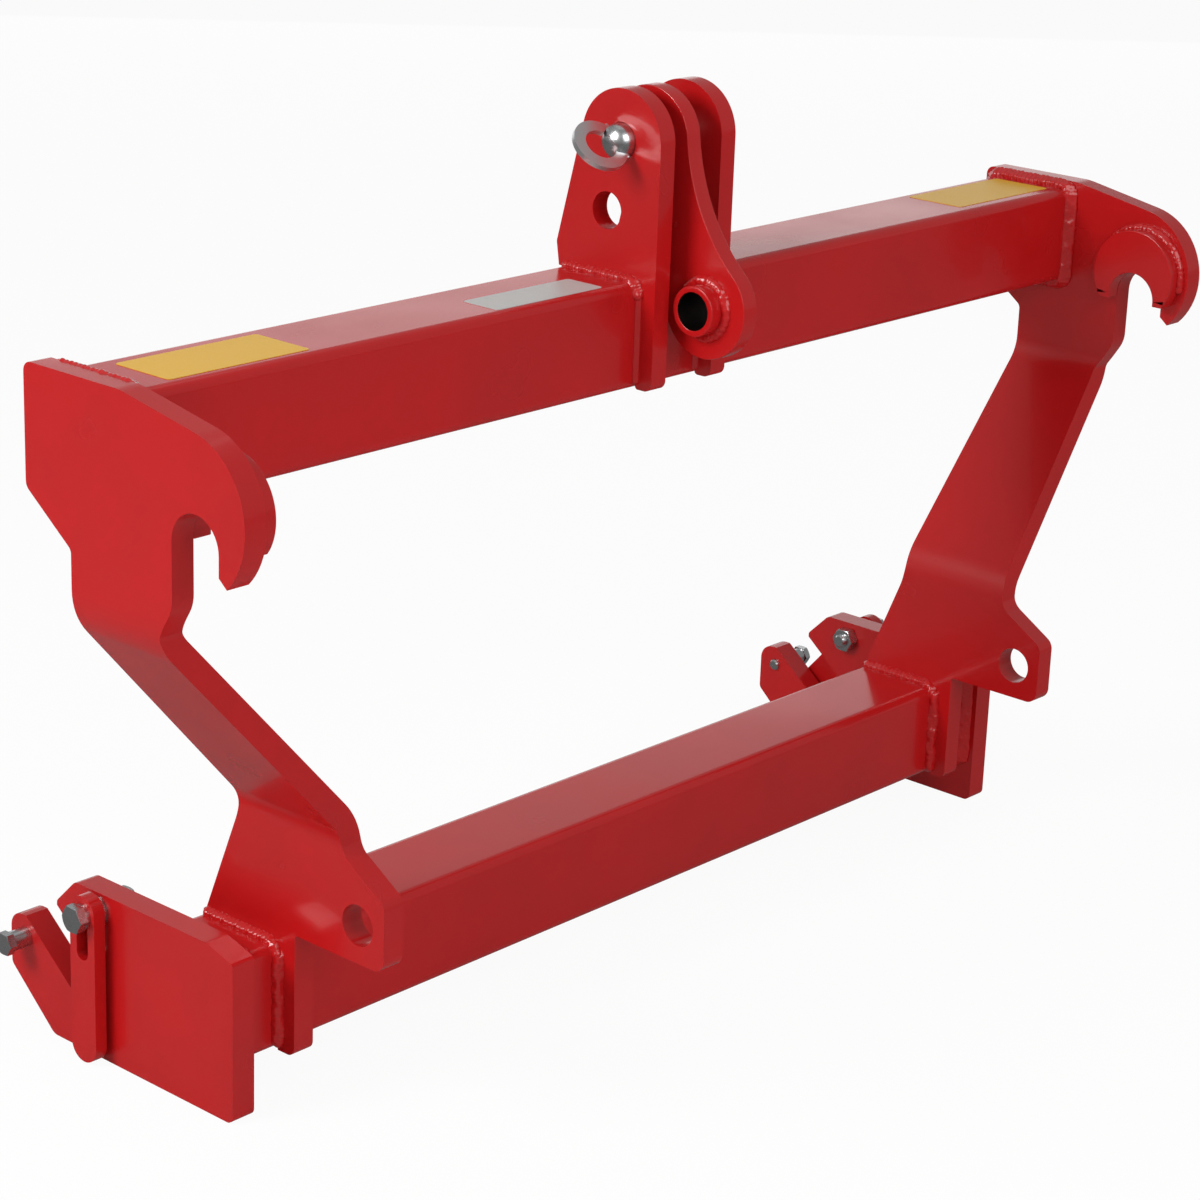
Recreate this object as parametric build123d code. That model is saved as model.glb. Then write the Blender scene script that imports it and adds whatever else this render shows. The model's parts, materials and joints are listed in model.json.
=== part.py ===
from build123d import *
from math import acos, atan2, cos, hypot, pi, radians, sin, sqrt, tan
import os

# Adapter frame that lets a three-point implement hang on a loader.
# X runs across the frame, -Y faces the loader (the hooks), +Y faces the implement, Z is up.
# The origin is on the ground, mid-width, halfway between the hooks' noses and the rear prongs.
# Outlines of the plates are drawn as (y, z) with y counted from the lower beam's centre.

# Box beams
BEAM_SIDE = 80.0
BEAM_WALL = 5.0
GROUND_CLEARANCE = 37.0
BEAM_RISE = 421.0
UPPER_BEAM_FORWARD = 4.0

# Bent side plates that carry the hooks above and the eyes below
SIDE_T = 18.0
HOOK_SPAN = 1038.0
LEG_SPAN = 750.0
BEND_R = 30.0
LOW_BEND_RISE = 109.0
HIGH_BEND_DROP = 68.0
SIDE_REAR_MARGIN = 9.0
SIDE_TOP_MARGIN = 7.0
HEAD_FORWARD = 46.0
BACK_STEP_DROP = 30.0
BACK_STEP_REACH = 45.0
BACK_STEP_RISE = 33.0
FOOT_INSET = 3.0
FOOT_TAPER_RISE = 92.5
LEG_DEPTH = 17.0
LEG_BELOW_BEAM = 1.0

# Hook at the top of a side plate, placed from the upper beam's centre
HOOK_SEAT_R = 22.0
HOOK_AHEAD = 117.0
HOOK_BELOW = 40.0
HOOK_OUTER_R = 55.5
HOOK_CROWN_BACK = 9.5
HOOK_CROWN_UP = 19.5
HOOK_TIP_DROP = 20.0
HOOK_TIP_BEVEL = 6.0
THROAT_DROP = 46.0
THROAT_STEP = 15.0
THROAT_STEP_DROP = 24.0

# Doubler that thickens the crown of each hook
DOUBLER_T = 15.0
DOUBLER_R = 38.5
DOUBLER_UP = 20.0
DOUBLER_END_DROP = 3.0

# Eye at the foot of a side plate, placed from the lower beam's centre
EYE_D = 30.0
EYE_AHEAD = 119.5
EYE_UP = 81.3
EYE_FRONT_MARGIN = 25.5
EYE_BOTTOM_MARGIN = 28.3
EYE_TOP_MARGIN = 22.7
EYE_NECK_BACK = 15.5
EYE_NECK_RISE = 25.0

# End plates with the slanted pin slots
END_T = 20.0
END_SPAN = 850.0
END_H = 130.0
END_TOP_FLAT = 28.0
END_FRONT = 51.0
END_REAR = 193.0
END_TOE_FLAT = 48.0
END_TOE_RISE = 42.0
PRONG_H = 84.5
JAW_REAR = 139.0
JAW_BEVEL = 21.0
SLOT_R = 19.5
SLOT_Y = 111.0
SLOT_Z = 58.0
SLOT_SLOPE = 38.5

# Swinging latch bars over the slots
PIVOT_Y = 93.5
PIVOT_Z = 115.5
PIVOT_BOLT_D = 12.0
PIVOT_HEAD_AF = 19.0
PIVOT_HEAD_H = 7.5
PIVOT_NUT_H = 10.0
PIVOT_TAIL = 4.0
WASHER_D = 30.0
WASHER_T = 2.5
SPACER_RING_D = 24.0
LATCH_GAP = 4.0
LATCH_W = 27.0
LATCH_T = 10.0
LATCH_L = 130.0
LATCH_TOP = 15.5
LATCH_TRAVEL = 28.0
LATCH_SLOT_PLAY = 0.15
RIGHT_LATCH_SWING = 41.0

# Stop bolts behind the slots
STOP_Y = 176.0
STOP_Z = 68.0
STOP_BOLT_D = 10.0
STOP_HEAD_AF = 16.0
STOP_HEAD_H = 6.4
STOP_TAIL = 3.0
STOP_SLEEVE_D = 15.0
STOP_SLEEVE_L = 15.0

# Clevis lugs for the top link
LUG_T = 16.0
LUG_GAP = 52.0
LUG_R = 38.5
LUG_FRONT_DEPTH = 16.0
LUG_REAR_REACH = 3.0
LUG_HEEL_RISE = 18.0
PIN_ABOVE_BEAM = 102.0
LOWER_HOLE_BACK = 11.5
LOWER_HOLE_DROP = 53.0

# Top pin and the spring ring in its turned-down end
PIN_D = 28.0
PIN_HEAD_D = 40.0
PIN_HEAD_T = 8.0
PIN_END_D = 23.0
PIN_SHOULDER_DEPTH = 2.0
DOME_STEPS = 4
RING_OUT = 4.5
RING_REACH = 17.2
RING_R = 21.7
RING_BAND = 9.2
RING_T = 4.0
RING_SLOPE = 41.5
RING_DROOP = 5.5
RING_PEG_D = 4.0
RING_PEG_L = 6.0
RING_EAR_W = 4.0

# Swinging arm with its cross tube
ARM_T = 15.0
ARM_OFFSET = -4.5
ARM_EYE_R = 38.0
ARM_LOBE_R = 38.0
ARM_REST_GAP = 0.5
ARM_LOBE_BELOW_PIN = 118.5
ARM_FRONT_SWEEP = 150.0
ARM_REAR_SWEEP = 66.0
BOSS_D = 38.0
BOSS_SIDE_GAP = 0.5

# Clearances
RUN_FIT = 0.1
WELD_FIT = 0.05
FACE_FIT = 0.1
HEAD_FIT = 0.3

# Levels and faces that several pieces share
HALF = BEAM_SIDE / 2
CORNER_R = 1.5 * BEAM_WALL
LOW_Z = GROUND_CLEARANCE + HALF
LOW_TOP = LOW_Z + HALF
UP_Y = -UPPER_BEAM_FORWARD
UP_Z = LOW_Z + BEAM_RISE
UP_TOP = UP_Z + HALF
UP_FRONT = UP_Y - HALF
SEAT_Y = UP_Y - HOOK_AHEAD
SEAT_Z = UP_Z - HOOK_BELOW
CROWN_Y = SEAT_Y + HOOK_CROWN_BACK
CROWN_Z = SEAT_Z + HOOK_CROWN_UP
PIN_Y = UP_FRONT - LUG_FRONT_DEPTH + LUG_R
PIN_Z = UP_TOP + PIN_ABOVE_BEAM
LUG_OUT = LUG_GAP / 2 + LUG_T
RING_X = -LUG_OUT - RING_OUT
RING_HOLE_R = PIN_END_D / 2 + HEAD_FIT
END_OUT = END_SPAN / 2 + END_T
LOBE_Y = UP_FRONT - ARM_REST_GAP - ARM_LOBE_R
LOBE_Z = PIN_Z - ARM_LOBE_BELOW_PIN
ORIGIN_Y = (CROWN_Y - HOOK_OUTER_R + END_REAR) / 2


def outline(*corners):
    """Closed face through (a, b, radius) corners; a radius of 0 keeps a corner sharp."""
    edges = []
    ends = []
    count = len(corners)
    for i in range(count):
        a, b, radius = corners[i]
        here = Vector(a, b)
        before = (Vector(*corners[i - 1][:2]) - here).normalized()
        after = (Vector(*corners[(i + 1) % count][:2]) - here).normalized()
        if radius == 0:
            ends.append((here, here))
            continue
        half_angle = acos(max(-1.0, min(1.0, before.dot(after)))) / 2
        run = radius / tan(half_angle)
        centre = here + (before + after).normalized() * (radius / sin(half_angle))
        start = here + before * run
        finish = here + after * run
        middle = centre + (here - centre).normalized() * radius
        edges.append(ThreePointArc(start, middle, finish))
        ends.append((start, finish))
    for i in range(count):
        leave = ends[i][1]
        arrive = ends[(i + 1) % count][0]
        if (arrive - leave).length > 1e-4:
            edges.append(Line(leave, arrive))
    return make_face(edges)


def disc(a, b, radius):
    return Pos(a, b) * Circle(radius)


def tangent_point(point, centre, radius, side):
    """Where the line from an outside point touches a circle; side is +1 or -1."""
    da = point[0] - centre[0]
    db = point[1] - centre[1]
    angle = atan2(db, da) + side * acos(radius / hypot(da, db))
    return centre[0] + radius * cos(angle), centre[1] + radius * sin(angle)


def cut_plate(face, x_start, thickness):
    """Plate whose (y, z) outline starts at x_start and grows towards +X."""
    return extrude(Plane.YZ.offset(x_start) * face, amount=thickness)


def rod_x(y, z, radius, x_start, x_end):
    """Round bar along X between two positions."""
    return cut_plate(disc(y, z, radius), x_start, x_end - x_start)


def hexagon_x(y, z, across_flats, x_start, thickness):
    """Hexagon head or nut along X."""
    return cut_plate(Pos(y, z) * RegularPolygon(across_flats / 2, 6, major_radius=False), x_start, thickness)


def mirrored(shape):
    return mirror(shape, about=Plane.YZ)


def box_beam(y, z, length):
    """Square tube along X, open at both ends."""
    outer = Pos(y, z) * RectangleRounded(BEAM_SIDE, BEAM_SIDE, CORNER_R)
    inner_side = BEAM_SIDE - 2 * BEAM_WALL
    inner = Pos(y, z) * RectangleRounded(inner_side, inner_side, CORNER_R - BEAM_WALL)
    return cut_plate(outer - inner, -length / 2, length)


def bent_blank():
    """Right side plate before it is cut out: a strip bent outwards and back upright."""
    low = LEG_SPAN / 2
    high = HOOK_SPAN / 2
    z_low = LOW_TOP + LOW_BEND_RISE
    z_high = UP_Z - HALF - HIGH_BEND_DROP
    lean = atan2(high - low, z_high - z_low)
    drop = SIDE_T * tan(lean / 2)
    z_end = UP_TOP + BEAM_SIDE
    section = outline(
        (low, -50, 0),
        (low, z_low, BEND_R + SIDE_T),
        (high, z_high, BEND_R),
        (high, z_end, 0),
        (high + SIDE_T, z_end, 0),
        (high + SIDE_T, z_high - drop, BEND_R + SIDE_T),
        (low + SIDE_T, z_low - drop, BEND_R),
        (low + SIDE_T, -50, 0),
    )
    return extrude(Plane.XZ * section, amount=400, both=True)


def hook_mouth():
    """Round seat of a hook and the opening below it."""
    drop = HOOK_SEAT_R + THROAT_DROP + THROAT_STEP_DROP
    slot = Pos(SEAT_Y, SEAT_Z - drop / 2) * Rectangle(2 * HOOK_SEAT_R, drop)
    return disc(SEAT_Y, SEAT_Z, HOOK_SEAT_R) + slot


def side_profile():
    """Outline of a side plate seen along X, with the hook, the eye and the leg."""
    top = UP_TOP + SIDE_TOP_MARGIN
    rear = UP_Y + HALF + SIDE_REAR_MARGIN
    throat = SEAT_Y + HOOK_SEAT_R
    head_end = UP_Y - HEAD_FORWARD
    crown = tangent_point((head_end, top), (CROWN_Y, CROWN_Z), HOOK_OUTER_R, 1)
    step_z = SEAT_Z - THROAT_DROP
    back = rear - BACK_STEP_REACH
    step_low = UP_Z - HALF - BACK_STEP_DROP
    eye_y = -EYE_AHEAD
    eye_z = LOW_Z + EYE_UP
    nose = eye_y - EYE_FRONT_MARGIN
    sole = eye_z - EYE_BOTTOM_MARGIN
    shoulder = eye_z + EYE_TOP_MARGIN
    leg_front = -HALF - LEG_DEPTH
    leg_low = LOW_Z - HALF - LEG_BELOW_BEAM
    plate = outline(
        (rear, top, 7),
        (head_end, top, 60),
        (crown[0], crown[1], 0),
        (CROWN_Y, CROWN_Z, 0),
        (throat, SEAT_Z, 0),
        (throat, step_z, 25),
        (throat + THROAT_STEP, step_z - THROAT_STEP_DROP, 8),
        (eye_y + EYE_NECK_BACK, shoulder + EYE_NECK_RISE, 15),
        (nose, shoulder, 10),
        (nose, sole, 10),
        (leg_front, sole, 3),
        (leg_front, leg_low, 7),
        (-HALF, leg_low, 0),
        (-HALF, LOW_TOP, CORNER_R * 0.8),
        (HALF - FOOT_INSET, LOW_TOP, 0),
        (back, LOW_TOP + FOOT_TAPER_RISE, 60),
        (back, step_low, 6),
        (rear, step_low + BACK_STEP_RISE, 8),
    )
    plate += disc(CROWN_Y, CROWN_Z, HOOK_OUTER_R)
    plate -= hook_mouth()
    finger = SEAT_Y - HOOK_SEAT_R
    tip = SEAT_Z - HOOK_TIP_DROP
    tip_out = CROWN_Y - sqrt(HOOK_OUTER_R**2 - (CROWN_Z - tip) ** 2)
    far = CROWN_Y - HOOK_OUTER_R - 10
    low = CROWN_Z - HOOK_OUTER_R - 10
    plate -= outline(
        (finger, tip + HOOK_TIP_BEVEL, 0),
        (tip_out, tip, 0),
        (far, tip, 0),
        (far, low, 0),
        (finger, low, 0),
    )
    return plate - disc(eye_y, eye_z, EYE_D / 2)


def side_plate():
    """Right side plate: the bent strip cut to the outline."""
    return bent_blank() & cut_plate(side_profile(), 0, HOOK_SPAN)


def hook_doubler():
    """Right doubler: a horseshoe round the hook's seat, on the plate's inner face."""
    shoe = disc(SEAT_Y, SEAT_Z + DOUBLER_UP, DOUBLER_R) - hook_mouth()
    end = SEAT_Z - DOUBLER_END_DROP
    shoe -= Pos(SEAT_Y, end - DOUBLER_R) * Rectangle(4 * DOUBLER_R, 2 * DOUBLER_R)
    return cut_plate(shoe, HOOK_SPAN / 2 - DOUBLER_T, DOUBLER_T)


def slot_cut():
    """Slanted slot of an end plate, open at the rear."""
    length = 2 * END_REAR
    run = Pos(length / 2, 0) * Rectangle(length, 2 * SLOT_R) + Circle(SLOT_R)
    return Pos(SLOT_Y, SLOT_Z) * Rot(0, 0, SLOT_SLOPE) * run


def end_plate():
    """Right end plate, with its slot and the two bolt holes."""
    face = outline(
        (-END_FRONT, 0, 6),
        (END_REAR - END_TOE_FLAT, 0, 10),
        (END_REAR, END_TOE_RISE, 6),
        (END_REAR, PRONG_H, 13),
        (JAW_REAR, PRONG_H, 0),
        (JAW_REAR, END_H - JAW_BEVEL, 4),
        (JAW_REAR - JAW_BEVEL, END_H, 8),
        (END_TOP_FLAT - END_FRONT, END_H, 12),
        (-END_FRONT, END_H - 8, 3),
    )
    face -= slot_cut()
    face -= disc(PIVOT_Y, PIVOT_Z, PIVOT_BOLT_D / 2 + RUN_FIT)
    face -= disc(STOP_Y, STOP_Z, STOP_BOLT_D / 2 + WELD_FIT)
    return cut_plate(face, END_SPAN / 2, END_T)


def pivot_bolt():
    """Right pivot bolt: head outside, shank through the latch bar and the plate."""
    seat = END_OUT + LATCH_GAP + LATCH_T + FACE_FIT + WASHER_T
    tail = END_SPAN / 2 - FACE_FIT - PIVOT_NUT_H - PIVOT_TAIL
    shank = rod_x(PIVOT_Y, PIVOT_Z, PIVOT_BOLT_D / 2, tail, seat)
    shank = chamfer(shank.edges().sort_by(Axis.X)[0], length=PIVOT_BOLT_D / 8)
    return shank + hexagon_x(PIVOT_Y, PIVOT_Z, PIVOT_HEAD_AF, seat, PIVOT_HEAD_H)


def pivot_washers():
    """Right washer under the bolt's head, and the ring that keeps the bar off the plate."""
    bore = disc(PIVOT_Y, PIVOT_Z, PIVOT_BOLT_D / 2 + 2 * RUN_FIT)
    washer = cut_plate(disc(PIVOT_Y, PIVOT_Z, WASHER_D / 2) - bore, END_OUT + LATCH_GAP + LATCH_T + FACE_FIT, WASHER_T)
    ring = cut_plate(disc(PIVOT_Y, PIVOT_Z, SPACER_RING_D / 2) - bore, END_OUT + FACE_FIT, LATCH_GAP - 2 * FACE_FIT)
    return washer + ring


def pivot_nut():
    """Right nut on the inner face of the end plate."""
    start = END_SPAN / 2 - FACE_FIT - PIVOT_NUT_H
    nut = hexagon_x(PIVOT_Y, PIVOT_Z, PIVOT_HEAD_AF, start, PIVOT_NUT_H)
    return nut - rod_x(PIVOT_Y, PIVOT_Z, PIVOT_BOLT_D / 2 + WELD_FIT, start, start + PIVOT_NUT_H)


def latch_bar(swing):
    """Right latch bar, swung rearwards by an angle from hanging straight down."""
    blank = Pos(0, LATCH_TOP - LATCH_L / 2) * Rot(0, 0, 90) * SlotOverall(LATCH_L, LATCH_W)
    width = PIVOT_BOLT_D + 2 * LATCH_SLOT_PLAY
    slot = Pos(0, -LATCH_TRAVEL / 2) * Rot(0, 0, 90) * SlotOverall(LATCH_TRAVEL + width, width)
    bar = Pos(PIVOT_Y, PIVOT_Z) * Rot(0, 0, swing) * (blank - slot)
    return cut_plate(bar, END_OUT + LATCH_GAP, LATCH_T)


def stop_bolt():
    """Right stop bolt, screwed through the plate and showing on the inner side."""
    seat = END_OUT + STOP_SLEEVE_L
    shank = rod_x(STOP_Y, STOP_Z, STOP_BOLT_D / 2, END_SPAN / 2 - STOP_TAIL, seat)
    shank = chamfer(shank.edges().sort_by(Axis.X)[0], length=STOP_BOLT_D / 8)
    return shank + hexagon_x(STOP_Y, STOP_Z, STOP_HEAD_AF, seat, STOP_HEAD_H)


def stop_sleeve():
    """Right sleeve on the stop bolt, which the latch bar swings against."""
    ring = disc(STOP_Y, STOP_Z, STOP_SLEEVE_D / 2) - disc(STOP_Y, STOP_Z, STOP_BOLT_D / 2 + RUN_FIT)
    return cut_plate(ring, END_OUT, STOP_SLEEVE_L)


def link_lug():
    """Right top-link lug, standing on the upper beam and lapping down its front face."""
    front = PIN_Y - LUG_R
    heel = (UP_Y + HALF + LUG_REAR_REACH, UP_TOP + LUG_HEEL_RISE)
    rear = tangent_point(heel, (PIN_Y, PIN_Z), LUG_R, 1)
    face = outline(
        (front, PIN_Z, 0),
        (front, UP_Z - HALF, 7),
        (UP_FRONT, UP_Z - HALF, 3),
        (UP_FRONT, UP_TOP, CORNER_R * 0.8),
        (UP_Y + HALF, UP_TOP, 0),
        (heel[0], heel[1], 6),
        (rear[0], rear[1], 0),
        (PIN_Y, PIN_Z, 0),
    )
    face += disc(PIN_Y, PIN_Z, LUG_R)
    face -= disc(PIN_Y, PIN_Z, PIN_D / 2 + RUN_FIT)
    face -= disc(PIN_Y + LOWER_HOLE_BACK, PIN_Z - LOWER_HOLE_DROP, PIN_D / 2 + RUN_FIT)
    return cut_plate(face, LUG_GAP / 2, LUG_T)


def ring_plane():
    """Plane of the spring ring, at its hinge: x points out along the ring, y along the pegs."""
    slope = radians(RING_SLOPE)
    pegs = Vector(0, cos(slope), sin(slope))
    level = Vector(-1, 0, 0)
    square = level.cross(pegs)
    droop = radians(RING_DROOP)
    out = level * cos(droop) + square * sin(droop)
    return Plane(origin=(RING_X, PIN_Y, PIN_Z), x_dir=out, z_dir=out.cross(pegs))


def peg_rod(radius, start, end):
    """Round bar along the ring's hinge, between two distances from the pin's axis."""
    ring = ring_plane()
    along = Plane(origin=ring.origin + ring.y_dir * start, x_dir=ring.x_dir, z_dir=ring.y_dir)
    return extrude(along * Circle(radius), amount=end - start)


def dome_x(y, z, radius, x_base):
    """Round end that bulges towards -X, turned as a stack of cones."""
    dome = None
    for i in range(DOME_STEPS):
        start = pi / 2 * i / DOME_STEPS
        end = pi / 2 * (i + 1) / DOME_STEPS
        base = Plane(origin=(x_base - radius * sin(start), y, z), x_dir=(0, 1, 0), z_dir=(-1, 0, 0))
        tip_r = max(radius * cos(end), radius / 10)
        height = radius * (sin(end) - sin(start))
        cone = base * Cone(radius * cos(start), tip_r, height, align=(Align.CENTER, Align.CENTER, Align.MIN))
        dome = cone if dome is None else dome + cone
    return dome


def top_pin():
    """Top-link pin: head on the right, and a round turned-down end on the left for the ring."""
    head_face = LUG_OUT + HEAD_FIT
    shoulder = -LUG_OUT + PIN_SHOULDER_DEPTH
    end_r = PIN_END_D / 2
    shank = rod_x(PIN_Y, PIN_Z, PIN_D / 2, shoulder, head_face)
    neck = rod_x(PIN_Y, PIN_Z, end_r, RING_X, shoulder)
    head = rod_x(PIN_Y, PIN_Z, PIN_HEAD_D / 2, head_face, head_face + PIN_HEAD_T)
    head = chamfer(head.edges().sort_by(Axis.X)[-1], length=PIN_HEAD_T / 6)
    pin = shank + neck + dome_x(PIN_Y, PIN_Z, end_r, RING_X) + head
    return pin - peg_rod(RING_PEG_D / 2 + RUN_FIT, -PIN_D, PIN_D)


def pin_ring():
    """Flat spring ring, open round the pin's end, with a peg at each end in the cross hole."""
    side = RING_HOLE_R + RING_EAR_W
    inner_r = RING_R - RING_BAND
    face = disc(RING_REACH, 0, RING_R) - disc(RING_REACH, 0, inner_r)
    face -= disc(0, 0, RING_HOLE_R)
    face -= Pos(-RING_R / 2, 0) * Rectangle(RING_R, 2 * RING_R)
    ring = extrude(ring_plane() * face, amount=RING_T / 2, both=True)
    for way in (1, -1):
        ear = sorted((way * RING_HOLE_R, way * side))
        peg = sorted((way * (RING_HOLE_R + RING_EAR_W / 2), way * (RING_HOLE_R - RING_PEG_L)))
        ring += peg_rod(RING_T / 2, ear[0], ear[1])
        ring += peg_rod(RING_PEG_D / 2, peg[0], peg[1])
    return ring


def waist_side(side, sweep):
    """Centre of one hollow edge of the arm, and where it meets the eye and the lobe."""
    length = hypot(LOBE_Y - PIN_Y, LOBE_Z - PIN_Z)
    along = (length**2 + (ARM_EYE_R + sweep) ** 2 - (ARM_LOBE_R + sweep) ** 2) / (2 * length)
    across = sqrt((ARM_EYE_R + sweep) ** 2 - along**2)
    unit = Vector(LOBE_Y - PIN_Y, LOBE_Z - PIN_Z) / length
    normal = Vector(-unit.Y, unit.X) * side
    eye = Vector(PIN_Y, PIN_Z)
    lobe = Vector(LOBE_Y, LOBE_Z)
    centre = eye + unit * along + normal * across
    at_eye = eye + (centre - eye).normalized() * ARM_EYE_R
    at_lobe = lobe + (centre - lobe).normalized() * ARM_LOBE_R
    return centre, at_eye, at_lobe


def swing_arm():
    """Arm that hangs from the top pin, waisted between its eye and its lobe."""
    front, front_eye, front_lobe = waist_side(-1, ARM_FRONT_SWEEP)
    rear, rear_eye, rear_lobe = waist_side(1, ARM_REAR_SWEEP)
    face = make_face(Polyline(front_eye, front_lobe, (LOBE_Y, LOBE_Z), rear_lobe, rear_eye, (PIN_Y, PIN_Z), close=True))
    face -= disc(front.X, front.Y, ARM_FRONT_SWEEP)
    face -= disc(rear.X, rear.Y, ARM_REAR_SWEEP)
    face += disc(PIN_Y, PIN_Z, ARM_EYE_R)
    face += disc(LOBE_Y, LOBE_Z, ARM_LOBE_R)
    face -= disc(PIN_Y, PIN_Z, PIN_D / 2 + RUN_FIT)
    face -= disc(LOBE_Y, LOBE_Z, BOSS_D / 2 + WELD_FIT)
    return cut_plate(face, ARM_OFFSET - ARM_T / 2, ARM_T)


def arm_boss():
    """Cross tube in the arm's lobe, as wide as the clevis lets through."""
    ring = disc(LOBE_Y, LOBE_Z, BOSS_D / 2) - disc(LOBE_Y, LOBE_Z, PIN_D / 2 + RUN_FIT)
    width = LUG_GAP - 2 * BOSS_SIDE_GAP
    return cut_plate(ring, -width / 2, width)


def pair(shape):
    """The same fastener on the right and on the left, as one group."""
    return shape + mirrored(shape)


def on_origin(shape):
    """A node's solids, moved from the lower beam's centre to the ground origin."""
    shift = Location((0, -ORIGIN_Y, 0))
    solids = [solid.moved(shift) for solid in shape.solids()]
    return solids[0] if len(solids) == 1 else Compound(solids)


nodes = {
    "lower_beam": box_beam(0, LOW_Z, END_SPAN),
    "upper_beam": box_beam(UP_Y, UP_Z, HOOK_SPAN),
    "side_plate_right": side_plate(),
    "side_plate_left": mirrored(side_plate()),
    "hook_doubler_right": hook_doubler(),
    "hook_doubler_left": mirrored(hook_doubler()),
    "end_plate_right": end_plate(),
    "end_plate_left": mirrored(end_plate()),
    "link_lug_right": link_lug(),
    "link_lug_left": mirrored(link_lug()),
    "stop_bolts": pair(stop_bolt()),
    "stop_sleeves": pair(stop_sleeve()),
    "pivot_bolt_right": pivot_bolt(),
    "pivot_bolt_left": mirrored(pivot_bolt()),
    "pivot_washers_right": pivot_washers(),
    "pivot_washers_left": mirrored(pivot_washers()),
    "pivot_nut_right": pivot_nut(),
    "pivot_nut_left": mirrored(pivot_nut()),
    "latch_bar_right": latch_bar(RIGHT_LATCH_SWING),
    "latch_bar_left": mirrored(latch_bar(0)),
    "top_pin": top_pin(),
    "pin_ring": pin_ring(),
    "swing_arm": swing_arm(),
    "arm_boss": arm_boss(),
}

os.makedirs("parts", exist_ok=True)
for name, shape in nodes.items():
    export_step(on_origin(shape), "parts/" + name + ".step")
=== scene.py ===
import json
import logging
import math
from dataclasses import dataclass
from enum import Enum
from typing import Any, Optional

import bpy
from mathutils import Matrix, Vector


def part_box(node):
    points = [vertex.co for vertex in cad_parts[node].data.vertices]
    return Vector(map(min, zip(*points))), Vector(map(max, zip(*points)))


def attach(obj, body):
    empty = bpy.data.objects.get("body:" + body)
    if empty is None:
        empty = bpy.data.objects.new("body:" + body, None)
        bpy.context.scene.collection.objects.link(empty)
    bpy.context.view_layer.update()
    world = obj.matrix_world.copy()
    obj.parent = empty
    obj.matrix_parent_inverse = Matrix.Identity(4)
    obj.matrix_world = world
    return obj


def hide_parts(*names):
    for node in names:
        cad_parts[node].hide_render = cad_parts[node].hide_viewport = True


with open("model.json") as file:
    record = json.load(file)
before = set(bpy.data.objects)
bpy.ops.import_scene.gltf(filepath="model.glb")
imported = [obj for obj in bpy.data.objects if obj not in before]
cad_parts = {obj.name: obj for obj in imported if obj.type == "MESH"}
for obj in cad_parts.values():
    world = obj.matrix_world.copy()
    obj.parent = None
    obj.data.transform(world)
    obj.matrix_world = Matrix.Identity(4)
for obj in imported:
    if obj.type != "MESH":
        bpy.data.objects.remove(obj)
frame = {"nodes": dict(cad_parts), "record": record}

logging.basicConfig(level=logging.INFO, format="%(name)s: %(message)s")
LOG = logging.getLogger("adapter")

MM = 0.001
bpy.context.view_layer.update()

# Most of a noise pattern's values lie between these two.
NOISE_LOW = 0.3
NOISE_HIGH = 0.7

# Vertices nearer than this are one: in a copy of a CAD node, and in a turned piece.
CAD_MERGE_MM = 0.002
TURNED_MERGE_MM = 0.005

# Faces that turn by less than the first are one flat, and edges that turn by more than the second are sharp.
FLAT_DEGREES = 0.6
SHARP_DEGREES = 32.0
EASED_STEPS = 2

# Radius of a head's turned-off face, as a share of the spanner's size.
HEAD_TIP_SHARE = 0.475

# Faces of the arm's cross tube that lie nearer to its axis than this are inside its bore, and get the nearly
# black painted shade.
ARM_BORE_REACH_MM = 14.3

QUARTER_TURN = math.pi / 2
SIDES = (("left", -1), ("right", 1))

# Nodes that keep the shape of the CAD, and the width of the rounding on their edges.
PLATE_EDGE_MM = 1.2
RED_EDGES_MM = {f"{plate}_{side}": PLATE_EDGE_MM
                for plate in ("side_plate", "end_plate", "hook_doubler", "link_lug") for side, _ in SIDES}
RED_EDGES_MM |= {"upper_beam": 0.0, "lower_beam": 0.0, "swing_arm": 1.0, "arm_boss": PLATE_EDGE_MM,
                 "latch_bar_left": 0.8, "latch_bar_right": 0.8}
ZINC_EDGES_MM = {"stop_sleeves": 0.4}
PIN_EDGES_MM = {"pin_ring": 1.1}


class Slot(Enum):
    """Material slots of the record, each stored with a group of pieces."""

    RED = "red_enamel"
    ZINC = "zinc_plate"
    PIN = "pin_steel"


class Cut(Enum):
    """What a cut leaves of a piece."""

    COMMON_PART = "INTERSECT"
    REST = "DIFFERENCE"


class Face(Enum):
    """Long faces of a square tube, in the order of a walk round it."""

    TOP = "top"
    FRONT = "front"
    BOTTOM = "bottom"
    REAR = "rear"


class Ripple(Enum):
    """Form of a weld bead's ripples, as the segments and rings of a sphere."""

    FLAT = (4, 2)
    ROUND = (12, 8)


def linear(hex_colour: str) -> tuple[float, float, float, float]:
    """Turn an sRGB hex value into the linear colour that Blender works in.

    Args:
        hex_colour: six hex digits, with or without a hash sign.

    Returns:
        Linear red, green and blue, and an alpha of 1.
    """
    digits = hex_colour.lstrip("#")
    channels = [int(digits[i:i + 2], 16) / 255 for i in (0, 2, 4)]
    out = [c / 12.92 if c <= 0.04045 else ((c + 0.055) / 1.055) ** 2.4 for c in channels]
    return out[0], out[1], out[2], 1.0


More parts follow.
